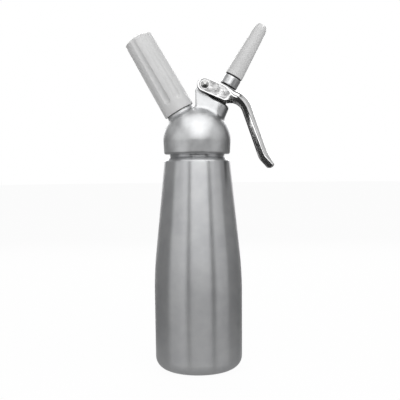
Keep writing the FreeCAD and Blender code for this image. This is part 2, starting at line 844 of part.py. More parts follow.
def leverOutline():
    toeTip = ("toeX + toeLength * cos(toeLean)", "toeZ - toeLength * sin(toeLean)")
    toeBack = (f"{toeTip[0]} - toeThickness * sin(toeLean)", f"{toeTip[1]} - toeThickness * cos(toeLean)")
    return [
        ("-cheekRadius", "cheekRadius", "cheekRadius - cheekRoundSpare"),
        ("elbowReach", "cheekRadius", "elbowRound"),
        ("toeX", "toeZ", "toeOuterRound"),
        (*toeTip, "toeEndRound"),
        (*toeBack, "toeEndRound"),
        (*handlePoint("handleLength + toeHeel", "handleThickness"), "toeInnerRound"),
        (*handlePoint("handleInset", "handleThickness"), "innerElbowRound"),
        ("cheekLength", "-cheekRadius"),
        ("-cheekRadius", "-cheekRadius", "cheekRadius - cheekRoundSpare"),
    ]


def lever():
    body = document.addObject("PartDesign::Body", "lever")
    corners = leverOutline()
    side = outline(body, "leverSide", "XZ_Plane", corners)
    pad(body, side, "2 * cheekOuter")
    document.recompute()
    roundCorners(body, side, corners, straightEdges)

    far = "toeX + toeLength"
    for name, sign in (("near", "-"), ("far", "")):
        pocket(body, outline(body, name + "Taper", "XY_Plane", [
            ("taperStart", f"{sign}cheekOuter"),
            ("taperEnd", f"{sign}handleHalf"),
            (far, f"{sign}handleHalf"),
            (far, f"{sign}(cheekOuter + 1)"),
            ("taperStart", f"{sign}(cheekOuter + 1)"),
        ]))

    fillet(body, "leverEdgeRound", sideEdges)

    rim = "cheekRadius - recessRim"
    recess = [
        ("recessStart", f"-({rim})"),
        ("cheekLength", f"-({rim})"),
        ("recessEnd", f"-({rim}) * 0.35"),
        ("recessEnd", rim),
        ("recessStart", rim),
    ]
    pocket(body, outline(body, "cheekRecess", "XZ_Plane", recess))
    pad(body, outline(body, "cheekWall", "XZ_Plane", recess), "2 * (cheekOuter - recessDepth)")

    below = "-cheekRadius - 1"
    pocket(body, outline(body, "cheekChannel", "XZ_Plane", [
        (below, below),
        ("channelEnd", below),
        ("channelEnd", "plateUnder"),
        ("-plateStart", "plateUnder"),
        ("-plateStart", "cheekRadius + 1"),
        (below, "cheekRadius + 1"),
    ]), "2 * cheekInner")
    pocket(body, outline(body, "handleGroove", "XZ_Plane", [
        handlePoint("grooveStart", "handleThickness - grooveDepth"),
        handlePoint("handleLength - grooveEnd", "handleThickness - grooveDepth"),
        handlePoint("handleLength - grooveEnd", "handleThickness + grooveDepth"),
        handlePoint("grooveStart", "handleThickness + grooveDepth"),
    ]), "2 * grooveHalf")
    pad(body, circleOn(body, "contactRib", "XZ_Plane", "ribAlong", "ribUp", "ribRadius"), "2 * ribHalf")
    pocket(body, circleOn(body, "stemHole", "XY_Plane", "ribAlong - slotShift", "0", "slotRadius"))
    pocket(body, circleOn(body, "pinHole", "XZ_Plane", "0", "0", "pinRadius + hingeFit"))
    return stand(body, x="pinX", z="pinZ", lean="leverPitch")


def leverPin():
    """The lever's pin, its head on the near side and a groove for the clip on the far side."""
    groove = "cheekOuter + washerGap"
    clipOuter = f"{groove} + clipThickness"
    return stand(turned("lever_pin", [
        ("0", f"-({clipOuter} + pinEnd)"),
        ("pinRadius", f"-({clipOuter} + pinEnd)"),
        ("pinRadius", f"-({clipOuter})"),
        ("pinRadius - clipGroove", f"-({clipOuter})"),
        ("pinRadius - clipGroove", f"-({groove})"),
        ("pinRadius", f"-({groove})"),
        ("pinRadius", groove),
        ("pinHeadRadius", groove),
        ("pinHeadRadius", f"{groove} + pinHeadThickness", "pinHeadRound"),
        ("0", f"{groove} + pinHeadThickness"),
    ]), x="pinX", z="pinZ", lean="90", axis=(1, 0, 0))


def pinClip():
    """The spring clip in the pin's groove, open on one side."""
    foot = "-(cheekOuter + washerGap + clipThickness)"
    whole = ring("clipRing", "pinRadius - clipGroove", "clipRadius", foot, "clipThickness")
    mouth = document.addObject("Part::Box", "clipMouth")
    bind(mouth, Length="clipMouth", Width="clipRadius + 1", Height="2 * clipThickness")
    stand(mouth, x="-clipMouth / 2", z=f"{foot} - clipThickness / 2")
    return stand(cut("pin_clip", whole, [mouth]), x="pinX", z="pinZ", lean="90", axis=(1, 0, 0))


fillSheet()
pieces = [
    bottle(), headGasket(), headCasting(),
    chargerPort(), piercingPin(), chargerSeal(), nonReturnSleeve(), nonReturnScrew(),
    gasCharger(), chargerHolder(),
    valveStem(), valveDisc(), backingWasher(), stemEndNut(), stemRing(), valveBush(),
    valveSpring(), flangeNut(),
    tipAdaptor(), collarRing(), tipRing(), decoratorTip(),
    lever(), leverPin(), pinClip(),
]
document.recompute()

for item in document.Objects:
    if "Invalid" in item.State or "Error" in item.State:
        raise RuntimeError(f"{item.Label} did not build: {item.State}")
os.makedirs("parts", exist_ok=True)
for piece in pieces:
    if piece.Shape.isNull() or not piece.Shape.isValid():
        raise RuntimeError(f"{piece.Label} has no valid shape")
    piece.Shape.exportStep(f"parts/{piece.Label}.step")
    print(f"{piece.Label:20} {len(piece.Shape.Solids)} solid(s) {piece.Shape.Volume:10.1f} mm3")
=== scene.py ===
import math

import bmesh
import bpy
import numpy as np
from mathutils import Matrix, Vector


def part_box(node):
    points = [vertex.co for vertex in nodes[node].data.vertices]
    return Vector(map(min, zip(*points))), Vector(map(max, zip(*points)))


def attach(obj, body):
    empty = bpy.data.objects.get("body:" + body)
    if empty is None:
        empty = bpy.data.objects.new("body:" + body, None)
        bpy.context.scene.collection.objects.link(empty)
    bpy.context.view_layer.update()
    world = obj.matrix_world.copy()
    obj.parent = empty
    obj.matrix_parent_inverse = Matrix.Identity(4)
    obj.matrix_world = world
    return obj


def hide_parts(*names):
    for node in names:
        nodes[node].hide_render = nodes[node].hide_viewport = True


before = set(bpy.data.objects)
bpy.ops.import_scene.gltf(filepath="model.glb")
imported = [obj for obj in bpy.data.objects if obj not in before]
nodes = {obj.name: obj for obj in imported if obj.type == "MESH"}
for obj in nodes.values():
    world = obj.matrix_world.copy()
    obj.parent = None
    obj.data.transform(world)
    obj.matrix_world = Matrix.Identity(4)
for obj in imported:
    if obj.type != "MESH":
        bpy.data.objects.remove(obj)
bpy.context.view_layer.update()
millimetre = 0.001
roundShare = 0.95  # the most of an edge that one round takes up
axisPoint = Vector((0, 0, 226))  # where the leaning axes cross the bottle's axis
nozzleLean = 30  # degrees toward +X
chargerLean = -29.5
nozzlePlace = Matrix.Translation(axisPoint) @ Matrix.Rotation(math.radians(nozzleLean), 4, "Y")
chargerPlace = Matrix.Translation(axisPoint) @ Matrix.Rotation(math.radians(chargerLean), 4, "Y")


# every mesh is in millimetres until finishPiece
# a bmesh of one chain of vertices in the XZ plane, with a round at each corner that names a radius
def chain(corners, closed=False, segments=8):
    bm = bmesh.new()
    verts = [bm.verts.new((corner[0], 0, corner[1])) for corner in corners]
    for first, second in zip(verts, verts[1:]):
        bm.edges.new((first, second))
    if closed:
        bm.edges.new((verts[-1], verts[0]))
    for vert, corner in zip(verts, corners):
        if corner[2:] and corner[2]:
            ahead, behind = [edge.other_vert(vert).co - vert.co for edge in vert.link_edges]
            reach = corner[2] / math.tan(ahead.angle(behind) / 2)
            bmesh.ops.bevel(bm, geom=[vert], offset=reach, offset_type="ABSOLUTE", segments=segments,
                            profile=0.5, affect="VERTICES", material=-1)
    return bm


# a chain turned once round Z
def turned(corners, steps=128, segments=8, closed=False, cuts=0):
    bm = chain(corners, closed, segments)
    if cuts:
        longest = max(bm.edges, key=lambda edge: edge.calc_length())
        bmesh.ops.subdivide_edges(bm, edges=[longest], cuts=cuts)
    bmesh.ops.spin(bm, geom=bm.verts[:] + bm.edges[:], axis=(0, 0, 1), cent=(0, 0, 0), dvec=(0, 0, 0),
                   angle=2 * math.pi, steps=steps, use_merge=True)
    bmesh.ops.remove_doubles(bm, verts=bm.verts[:], dist=0.001)
    bmesh.ops.recalc_face_normals(bm, faces=bm.faces[:])
    return bm


# a closed outline in the XZ plane, filled and pulled out to both sides along Y
def prism(corners, halfWidth, segments=8):
    bm = chain(corners, closed=True, segments=segments)
    face = bmesh.ops.contextual_create(bm, geom=bm.edges[:])["faces"][0]
    bmesh.ops.translate(bm, verts=bm.verts[:], vec=(0, -halfWidth, 0))
    grown = bmesh.ops.extrude_face_region(bm, geom=[face])
    moved = [item for item in grown["geom"] if isinstance(item, bmesh.types.BMVert)]
    bmesh.ops.translate(bm, verts=moved, vec=(0, 2 * halfWidth, 0))
    bmesh.ops.recalc_face_normals(bm, faces=bm.faces[:])
    return bm


# the points of a closed chain, in order
def loopPoints(bm):
    vert = bm.verts[:][0]
    edge = vert.link_edges[0]
    points = []
    while len(points) < len(bm.verts):
        points.append(vert.co.copy())
        vert = edge.other_vert(vert)
        edge = [other for other in vert.link_edges if other != edge][0]
    return points


# rises from 0 to 1 between low and high, level at both ends
def smoothStep(value, low, high):
    share = max(0.0, min(1.0, (value - low) / (high - low)))
    return share * share * (3 - 2 * share)


# like prism, with rounded rims; each corner also names how far the rim's round reaches in over the
# outline and how far along Y, and both run smoothly to the next corner
def roundedPrism(corners, halfWidth, segments=14, steps=10):
    outline = chain([corner[:3] for corner in corners], closed=True, segments=segments)
    points = loopPoints(outline)
    outline.free()
    count = len(points)
    lengths = [(points[(index + 1) % count] - points[index]).length for index in range(count)]
    rims = [None] * count
    for x, z, _, *rim in corners:
        nearest = min(range(count), key=lambda index: (points[index] - Vector((x, 0, z))).length)
        rims[nearest] = Vector((rim[0], rim[-1]))
    known = [index for index in range(count) if rims[index] is not None]
    for first, second in zip(known, known[1:] + [known[0] + count]):
        whole = sum(lengths[index % count] for index in range(first, second))
        walked = 0
        for index in range(first + 1, second):
            walked += lengths[(index - 1) % count]
            share = smoothStep(walked, 0, whole)
            rims[index % count] = rims[first] + (rims[second % count] - rims[first]) * share
    area = sum(points[index - 1].x * points[index].z - points[index].x * points[index - 1].z
               for index in range(count))
    inward = []
    for index in range(count):
        along = (points[(index + 1) % count] - points[index - 1]).normalized()
        inward.append(Vector((-along.z, 0, along.x)) * math.copysign(1, area))
    bm = bmesh.new()
    rings = []
    for side in (-1, 1):
        for step in range(steps + 1)[::side]:
            angle = math.pi / 2 * step / steps
            ring = []
            for point, normal, rim in zip(points, inward, rims):
                place = point + normal * rim[0] * (1 - math.cos(angle))
                place.y = side * (halfWidth - rim[1] * (1 - math.sin(angle)))
                ring.append(bm.verts.new(place))
            rings.append(ring)
    for first, second in zip(rings, rings[1:]):
        for index in range(count):
            bm.faces.new((first[index - 1], first[index], second[index], second[index - 1]))
    bm.faces.new(rings[0])
    bm.faces.new(rings[-1])
    bm.normal_update()
    bmesh.ops.recalc_face_normals(bm, faces=bm.faces[:])
    if bm.calc_volume(signed=True) < 0:
        bmesh.ops.reverse_faces(bm, faces=bm.faces[:])
    return bm


# a round bar along Y through (x, z)
def crossBar(x, z, radius, halfWidth, steps=48):
    bm = bmesh.new()
    place = Matrix.Translation((x, 0, z)) @ Matrix.Rotation(math.pi / 2, 4, "X")
    bmesh.ops.create_cone(bm, cap_ends=True, segments=steps, radius1=radius, radius2=radius,
                          depth=2 * halfWidth, matrix=place)
    return bm


def placed(bm, place):
    bmesh.ops.transform(bm, matrix=place, verts=bm.verts[:])
    return bm


def newObject(name, data):
    made = bpy.data.objects.new(name, data)
    bpy.context.scene.collection.objects.link(made)
    return made


def toMesh(name, bm):
    mesh = bpy.data.meshes.new(name)
    bm.to_mesh(mesh)
    bm.free()
    return mesh


# what a modifier makes of a bmesh
def modified(bm, kind, settings):
    blank = newObject("blank", toMesh("blank", bm))
    step = blank.modifiers.new("step", kind)
    for key, value in settings.items():
        setattr(step, key, value)
    graph = bpy.context.evaluated_depsgraph_get()
    made = bmesh.new()
    made.from_mesh(blank.evaluated_get(graph).to_mesh())
    bpy.data.objects.remove(blank)
    return made


# cuts tools out of a bmesh, or joins them to it
def carved(bm, tools, operation="DIFFERENCE"):
    for shape in tools:
        tool = newObject("tool", toMesh("tool", shape))
        bm = modified(bm, "BOOLEAN", {"object": tool, "operation": operation, "solver": "EXACT"})
        bpy.data.objects.remove(tool)
    return bm


# puts a finished piece on its body, in place of its CAD nodes
def finishPiece(name, bm, body, materials, stoodFor=(), sharp=35):
    piece = newObject(name, toMesh(name, placed(bm, Matrix.Scale(millimetre, 4))))
    piece.data.shade_smooth()
    piece.data.set_sharp_from_angle(angle=math.radians(sharp))
    for material in materials:
        piece.data.materials.append(material)
    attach(piece, body)
    if stoodFor:
        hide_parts(*stoodFor)
    return piece


# keeps large flat faces flat beside small rounds
def flatten(piece):
    step = piece.modifiers.new("flatFaces", "WEIGHTED_NORMAL")
    step.weight = 100
    step.keep_sharp = True


# sRGB hex to linear
def linear(hexText):
    parts = [int(hexText[index:index + 2], 16) / 255 for index in (1, 3, 5)]
    return [part / 12.92 if part < 0.04045 else ((part + 0.055) / 1.055) ** 2.4 for part in parts] + [1]


# adds a node with its settings and links; a setting is a socket or a property of the node
def addNode(tree, kind, settings=None, links=None):
    node = tree.nodes.new(kind)
    for key, value in (settings or {}).items():
        if isinstance(key, int) or key in node.inputs:
            node.inputs[key].default_value = value
        else:
            setattr(node, key, value)
    for key, socket in (links or {}).items():
        tree.links.new(socket, node.inputs[key])
    return node


def newMaterial(name, settings):
    material = bpy.data.materials.new(name)
    material.use_nodes = True
    tree = material.node_tree
    shader = tree.nodes["Principled BSDF"]
    for key, value in settings.items():
        shader.inputs[key].default_value = value
    return material, tree, shader


# a finish from its sockets, and from two tones, two roughnesses and a depth of relief in millimetres, each
# spread by a noise; a noise's grain has a size in millimetres, a detail and a scale on X and Y, and lean
# turns its Z onto another axis of the object
def makeFinish(name, sockets, tones, roughness, relief, toneGrain, roughGrain, reliefGrain, lean=0.0):
    material, tree, shader = newMaterial(name, sockets)
    source = addNode(tree, "ShaderNodeTexCoord").outputs["Object"]
    place = addNode(tree, "ShaderNodeMapping", {
        "vector_type": "TEXTURE", "Location": axisPoint * millimetre,
        "Rotation": (0, math.radians(lean), 0), "Scale": (millimetre,) * 3}, {"Vector": source})
    noises = {}
    for grain in dict.fromkeys((toneGrain, roughGrain, reliefGrain)):
        size, detail, stretch = grain
        scaled = addNode(tree, "ShaderNodeMapping", {"Scale": (stretch / size, stretch / size, 1 / size)},
                         {"Vector": place.outputs["Vector"]})
        noise = addNode(tree, "ShaderNodeTexNoise", {"Scale": 1.0, "Detail": detail},
                        {"Vector": scaled.outputs["Vector"]})
        noises[grain] = noise.outputs["Fac"]
    noiseRange = {"From Min": 0.3, "From Max": 0.7}  # where most of the noise lies
    share = addNode(tree, "ShaderNodeMapRange", noiseRange, {"Value": noises[toneGrain]})
    tone = addNode(tree, "ShaderNodeMix", {"data_type": "RGBA", 6: linear(tones[0]), 7: linear(tones[1])},
                   {0: share.outputs["Result"]})
    tree.links.new(tone.outputs[2], shader.inputs["Base Color"])
    rough = addNode(tree, "ShaderNodeMapRange",
                    {**noiseRange, "To Min": roughness[0], "To Max": roughness[1]},
                    {"Value": noises[roughGrain]})
    tree.links.new(rough.outputs["Result"], shader.inputs["Roughness"])
    if relief:
        bump = addNode(tree, "ShaderNodeBump", {"Distance": relief * millimetre, "Strength": 1.0},
                       {"Height": noises[reliefGrain]})
        tree.links.new(bump.outputs["Normal"], shader.inputs["Normal"])
    if "Anisotropic" in sockets:
        around = addNode(tree, "ShaderNodeTangent", {"direction_type": "RADIAL", "axis": "Z"})
        tree.links.new(around.outputs["Tangent"], shader.inputs["Tangent"])
    return material


# turned or brushed round an axis: lines 0.5 mm apart round it, drawn coarse enough to show
def turnedMetal(name, dark, light, roughness, lean, more=None):
    lines = (0.5, 3.0, 0.02)
    return makeFinish(name, {"Metallic": 1.0, **(more or {})}, (dark, light),
                      (roughness - 0.04, roughness + 0.04), 0, (14.0, 2.0, 1), lines, lines, lean)


# moulded plastic: a faint spark-eroded grain and a slow change of tone
def mouldedPlastic(name, dark, light, roughness, lean):
    pores = (1.2, 1.0, 1)
    return makeFinish(name, {"IOR": 1.49}, (dark, light), (roughness - 0.04, roughness + 0.04), 0.004,
                      (22.0, 2.0, 1), pores, pores, lean)


# moulded rubber: a dull skin with fine pores
def mouldedRubber(name, dark, light):
    pores = (0.4, 3.0, 1)
    return makeFinish(name, {"IOR": 1.52}, (dark, light), (0.5, 0.65), 0.01, pores, pores, pores)


# the polishing wheel doesn't reach the recesses and the underside, which keep the casting's uneven skin; the
# dark tones that the underside's copy gets are painted shade
def castSkin(name, dark, light):
    pits = (4.2, 3.0, 1)
    return makeFinish(name, {"Metallic": 1.0}, (dark, light), (0.46, 0.28), 0.5, pits, pits, pits)


# brushed round and round: each reflection smears up and down the bottle into upright bands
brushedBottle = turnedMetal("circularBrushedAluminium", "#CDCED0", "#D8D9DA", 0.38, 0,
                            {"Anisotropic": 0.95, "Anisotropic Rotation": 0.25})
# die-cast and blasted with fine beads: an even satin with a soft, wide highlight
satinHead = makeFinish("satinDieCastAluminium", {"Metallic": 1.0}, ("#C9CACB", "#DCDDDE"), (0.4, 0.47), 0.003,
                       (9.0, 3.0, 1), (9.0, 3.0, 1), (0.45, 3.0, 1))
# cast and then polished: near-mirror, with the slow ripple that hand polishing leaves
polishedLever = makeFinish("polishedCastAluminium", {"Metallic": 1.0}, ("#DDDDDD", "#EBEBEB"), (0.08, 0.14),
                           0.03, (6.0, 1.0, 1), (1.5, 2.0, 1), (6.0, 1.0, 1))
leverSkin = castSkin("asCastAluminium", "#9A9A9A", "#EAEAEA")  # bright and mottled
# the underside's copy: an unpolished skin whose dark tones are painted shade under the lever
undersideSkinAndPaintedShade = castSkin("castAluminiumWithPaintedShade", "#4C4C4C", "#6E6E6E")  # dark and dull
# turned on a lathe: pale and softly shining, with fine rings
turnedCollar = turnedMetal("turnedAluminium", "#CFD0D1", "#DCDDDE", 0.34, nozzleLean)
# darker than the aluminium, with sharper highlights
turnedSteel = turnedMetal("turnedStainlessSteel", "#A4A4A3", "#B6B6B5", 0.24, nozzleLean)
# rolled and zinc plated: cool, smooth and bright
rolledSteel = turnedMetal("zincPlatedSteel", "#B9BBBC", "#CDCFD0", 0.2, chargerLean)
# pale, with the brass showing through as a warm cast
nickelBrass = turnedMetal("nickelPlatedBrass", "#C2B593", "#D5C9A6", 0.24, chargerLean)
# white with a soft sheen and no sharp highlight
whitePlastic = mouldedPlastic("whiteMouldedPolypropylene", "#CBCBCB", "#D2D2D2", 0.34, chargerLean)
tipPlastic = mouldedPlastic("whiteMouldedAbs", "#C8C8C8", "#CFCFCF", 0.34, nozzleLean)
greyPlastic = mouldedPlastic("greyMouldedAcetal", "#55565A", "#616266", 0.4, nozzleLean)
# rubbers that swallow most of the light
blackRubber = mouldedRubber("blackNitrileRubber", "#121213", "#171718")
greySilicone = mouldedRubber("greySiliconeRubber", "#4F4F51", "#565658")
print("materials made")


# the bottle: a deep-drawn shell with a thread rolled round its neck
bottleSizes = {
    "belly": 43.9, "bellyHeight": 95.5, "bellyRound": 350, "footTaper": 0.6, "footRound": 12.0,
    "shoulder": 32.7, "shoulderHeight": 207.2, "shoulderRound": 2.5,
    "neck": 27.2, "neckFoot": 210.9, "rim": 232.0, "mouth": 23.5, "wall": 1.6, "floor": 3.0,
    "neckFootRound": 1.2, "neckBand": 3.4, "neckBandRound": 0.4, "lipRound": 0.5,
    "threadDepth": 0.8, "threadPitch": 3.0, "threadTurns": 4, "threadCrest": 0.3, "threadFlank": 0.9,
    "threadEnd": 1.5, "threadSunk": 0.3,
}


def makeBottle():
    s = bottleSizes
    root = s["neck"] - s["threadDepth"]
    foot = s["belly"] - s["footTaper"]
    bm = turned([
        (0, 0),
        (foot, 0, s["footRound"]),
        (s["belly"], s["bellyHeight"], s["bellyRound"]),
        (s["shoulder"], s["shoulderHeight"], s["shoulderRound"]),
        (s["neck"], s["neckFoot"], s["neckFootRound"]),
        (s["neck"], s["neckFoot"] + s["neckBand"], s["neckBandRound"]),
        (root, s["neckFoot"] + s["neckBand"] + s["threadDepth"]),
        (root, s["rim"], s["lipRound"]),
        (s["mouth"], s["rim"], s["lipRound"]),
        (s["mouth"], s["shoulderHeight"]),
        (s["shoulder"] - s["wall"], s["shoulderHeight"] - 2 * s["wall"]),
        (s["belly"] - s["wall"], s["bellyHeight"], s["bellyRound"]),
        (foot - s["wall"], s["floor"], s["footRound"] - s["wall"]),
        (0, s["floor"]),
    ], steps=192)
    finishPiece("bottleShell", bm, "bottle_body", [brushedBottle], ["bottle"])

    # the thread: one ridge wound round the neck, sunk a little into it
    thread = bmesh.new()
    low = s["rim"] - s["threadEnd"] - s["threadTurns"] * s["threadPitch"]
    sunk = root - s["threadSunk"]
    corners = [(sunk, -s["threadFlank"]), (s["neck"], -s["threadCrest"]),
               (s["neck"], s["threadCrest"]), (sunk, s["threadFlank"])]
    verts = [thread.verts.new((across, 0, low + up)) for across, up in corners]
    face = thread.faces.new(verts)
    steps = 96 * s["threadTurns"]
    bmesh.ops.spin(thread, geom=[face, *face.edges, *face.verts], axis=(0, 0, 1), cent=(0, 0, 0),
                   dvec=(0, 0, s["threadPitch"] * s["threadTurns"] / steps),
                   angle=2 * math.pi * s["threadTurns"], steps=steps)
    bmesh.ops.recalc_face_normals(thread, faces=thread.faces[:])
    finishPiece("neckThread", thread, "bottle_body", [brushedBottle])


makeBottle()
print("bottle made")


# the charger holder: a fluted plastic sleeve over the gas bulb
holderSizes = {
    "foot": 35.0, "length": 85.6, "footRadius": 15.65, "topRadius": 14.2, "topRound": 1.2, "crown": 4.5,
    "footRound": 0.8, "bore": 9.4, "threadBore": 11.1, "threadTop": 51.5, "boreTop": 112.2,
    "flutes": 8, "fluteRadius": 4.5, "fluteDepth": 0.8, "fluteFoot": 9.4, "fluteEdge": 0.35,
}


# how far a flute's round-ended cutter lets the wall reach, at an angle from the flute's middle line
def fluteReach(angle, height):
    s = holderSizes
    centre = s["topRadius"] + s["fluteRadius"] - s["fluteDepth"]
    ballHeight = s["foot"] + s["fluteFoot"] + s["fluteRadius"]
    below = max(0.0, ballHeight - height)
    left = s["fluteRadius"] ** 2 - below ** 2 - (centre * math.sin(angle)) ** 2
    return centre * math.cos(angle) - math.sqrt(left) if left > 0 else 99.0


# the smaller of two reaches, rounded off where they meet
def softMinimum(first, second, blend):
    mix = max(0.0, min(1.0, 0.5 + (second - first) / (2 * blend)))
    return second + (first - second) * mix - blend * mix * (1 - mix)


def makeHolder():
    s = holderSizes
    top = s["foot"] + s["length"]
    capReach = (s["topRadius"] ** 2 + s["crown"] ** 2) / (2 * s["topRadius"])
    bm = turned([
        (s["threadBore"], s["foot"]),
        (s["footRadius"], s["foot"], s["footRound"]),
        (s["topRadius"], top - s["crown"], s["topRound"]),
        (capReach, top, roundShare * capReach * s["topRadius"] / s["crown"]),
        (0, top),
    ], steps=320, cuts=110)
    pitch = 2 * math.pi / s["flutes"]
    for vert in bm.verts:
        reach = math.hypot(vert.co.x, vert.co.y)
        if reach < s["topRadius"] * 0.7:
            continue
        angle = math.atan2(vert.co.y, vert.co.x) % pitch - pitch / 2
        wanted = softMinimum(reach, fluteReach(angle, vert.co.z), s["fluteEdge"])
        if wanted < reach:
            vert.co.x *= wanted / reach
            vert.co.y *= wanted / reach
    inner = turned([
        (s["threadBore"], s["foot"]),
        (s["threadBore"], s["threadTop"]),
        (s["bore"], s["threadTop"] + 2.5),
        (s["bore"], s["boreTop"], s["bore"] - 1),
        (0, s["boreTop"]),
    ], steps=240)
    bmesh.ops.reverse_faces(inner, faces=inner.faces[:])
    bm.from_mesh(toMesh("inner", inner))
    bmesh.ops.remove_doubles(bm, verts=bm.verts[:], dist=0.001)
    finishPiece("chargerHolder", placed(bm, chargerPlace), "holder_body", [whitePlastic],
                ["charger_holder"], sharp=50)


makeHolder()
print("holder made")


# the decorator tip: a tapered tube with notches in its mouth
tipSizes = {
    "foot": 74.3, "footRadius": 9.0, "waistRadius": 6.5, "waistHeight": 53.0, "waistRound": 7.0,
    "length": 57.6, "mouthRadius": 4.2, "mouthRound": 0.7, "wall": 1.7, "bore": 6.5, "boreTop": 81.0,
    "notches": 5, "notchDepth": 3.4, "notchHalf": 1.2, "notchFootHalf": 0.5, "notchFootRound": 0.4,
    "notchTurn": 15.0,
}


def makeTip():
    s = tipSizes
    top = s["foot"] + s["length"]
    waist = s["foot"] + s["waistHeight"]
    bm = turned([
        (s["bore"], s["foot"]),
        (s["footRadius"], s["foot"], 0.3),
        (s["waistRadius"], waist, s["waistRound"]),
        (s["mouthRadius"], top, s["mouthRound"]),
        (s["mouthRadius"] - s["wall"], top),
        (s["waistRadius"] - s["wall"], waist),
        (s["footRadius"] - 2 * s["wall"], s["boreTop"] + 2 * s["wall"]),
        (s["bore"], s["boreTop"] + s["wall"]),
    ], steps=128, closed=True)
    notches = []
    bottom = top - s["notchDepth"]
    for index in range(s["notches"]):
        notch = prism([
            (-s["notchFootHalf"], bottom, s["notchFootRound"]),
            (s["notchFootHalf"], bottom, s["notchFootRound"]),
            (s["notchHalf"], top + 1),
            (-s["notchHalf"], top + 1),
        ], s["mouthRadius"])
        turn = Matrix.Rotation(math.radians(s["notchTurn"]) + index * 2 * math.pi / s["notches"], 4, "Z")
        notches.append(placed(notch, turn @ Matrix.Translation((0, -s["mouthRadius"], 0))))
    bm = placed(carved(bm, notches), nozzlePlace)
    finishPiece("notchedTip", bm, "tip_body", [tipPlastic], ["decorator_tip"])


makeTip()
print("tip made")


# the lever, in its own frame: the pin at the origin and X along the top plate
leverSizes = {
    "pinX": 8.1965, "pinZ": 281.1967, "pitch": 23.8,
    "cheek": 7.5, "cheekLength": 23.8, "cheekOuter": 14.6, "cheekInner": 12.0, "plate": 2.0,
    "cheekEndRound": 7.1, "cheekToeRound": 5.0,
    "elbow": 43.35, "elbowRound": 23.0, "handleLean": 47.3, "handleLength": 58.8, "handleThickness": 9.3,
    "handleInset": 2.0, "innerElbowRound": 12.0, "handleHalf": 8.5,
    "toeLean": 36.9, "toeLength": 15.0, "toeThickness": 6.8, "toeHeel": 3.4,
    "toeOuterRound": 24.0, "toeInnerRound": 14.0, "toeEndRound": 2.8,
    "taperStart": 25.0, "taperEnd": 55.0, "cutPitch": 2.5,
    "crownStart": 14.0, "crownFull": 30.0, "crownMost": (7.4, 9.0), "crown": (6.4, 8.2),
    "crownEnd": (5.2, 8.2), "toeCrown": (2.4, 4.0), "toeBackRound": 1.2, "rimRound": 1.0, "innerRound": 0.5,
    "recessDepth": 1.1, "recessRim": 1.7, "recessEnd": 27.0, "recessRounds": (2.0, 3.0), "pinLand": 4.4,
    "channelEnd": 31.85, "channelRound": 3.0, "plateStart": 3.0, "grooveHalf": 5.2, "grooveDepth": 5.2,
    "grooveStart": 8.0, "grooveEnd": 4.0, "ribAlong": 21.27, "ribUp": 5.9, "ribRadius": 1.5, "ribHalf": 6.6,
    "slotRadius": 5.2, "slotShift": 0.6, "pinHole": 2.56, "edge": 0.25,
}
leverPlace = (Matrix.Translation((leverSizes["pinX"], 0, leverSizes["pinZ"]))
              @ Matrix.Rotation(math.radians(leverSizes["pitch"]), 4, "Y"))


# a point of the handle: along it from the elbow, and in from its outer face
def handlePoint(along, depth):
    s = leverSizes
    lean = math.radians(s["handleLean"])
    return (s["elbow"] + along * math.cos(lean) - depth * math.sin(lean),
            s["cheek"] - along * math.sin(lean) - depth * math.cos(lean))


def leverOutline():
    s = leverSizes
    toe = math.radians(s["toeLean"])
    start = handlePoint(s["handleLength"], 0)
    end = (start[0] + s["toeLength"] * math.cos(toe), start[1] - s["toeLength"] * math.sin(toe))
    back = (end[0] - s["toeThickness"] * math.sin(toe), end[1] - s["toeThickness"] * math.cos(toe))
    rim = s["rimRound"]
    return [
        (-s["cheek"], s["cheek"], s["cheekEndRound"], rim),
        (s["crownStart"], s["cheek"], 0, rim),
        (s["crownFull"], s["cheek"], 0, *s["crownMost"]),
        (s["elbow"], s["cheek"], s["elbowRound"], *s["crown"]),
        (*start, s["toeOuterRound"], *s["crownEnd"]),
        (*end, s["toeEndRound"], *s["toeCrown"]),
        (*back, s["toeEndRound"], s["toeBackRound"]),
        (*handlePoint(s["handleLength"] + s["toeHeel"], s["handleThickness"]), s["toeInnerRound"],
         s["innerRound"]),
        (*handlePoint(s["handleInset"], s["handleThickness"]), s["innerElbowRound"], s["innerRound"]),
        (s["cheekLength"], -s["cheek"], s["cheekToeRound"], rim),
        (-s["cheek"], -s["cheek"], s["cheekEndRound"], rim),
    ]


